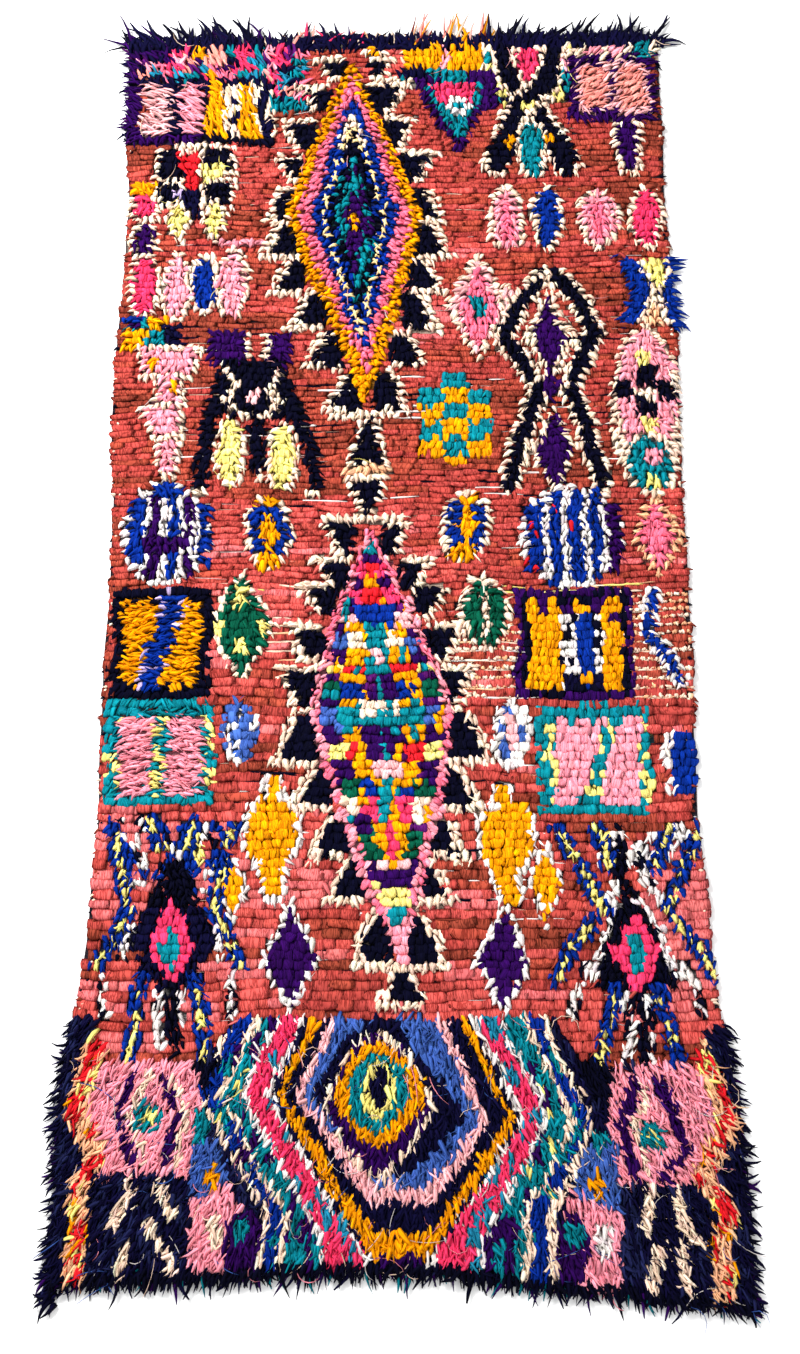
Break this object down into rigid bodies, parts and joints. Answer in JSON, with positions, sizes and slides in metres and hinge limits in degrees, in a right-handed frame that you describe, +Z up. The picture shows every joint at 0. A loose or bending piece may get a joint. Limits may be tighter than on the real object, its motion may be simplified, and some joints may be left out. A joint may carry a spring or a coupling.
{
  "type": "knotted rag pile rug",
  "caption": "Long hand-knotted rag rug with a low corded pile, a shaggy end panel and loose rag fringes, lying flat.",
  "frame": {"origin": "on the floor under the middle of the whole rug, fringes included", "axes": "+Z up from the floor, +Y along the length towards the end away from the shaggy panel, +X across the width"},
  "size_m": [1.286, 2.6762, 0.0278],
  "materials": {
    "rag_pile": "matte cotton jersey rag, cut into strips and knotted, terracotta ground with many colours",
    "rag_fringe": "matte navy-black jersey rag, loose twisted ends"
  },
  "bodies": {
    "root": {"rug_body": "rag_pile", "fringe_high_end": "rag_fringe", "fringe_low_end": "rag_fringe"}
  },
  "joints": []
}
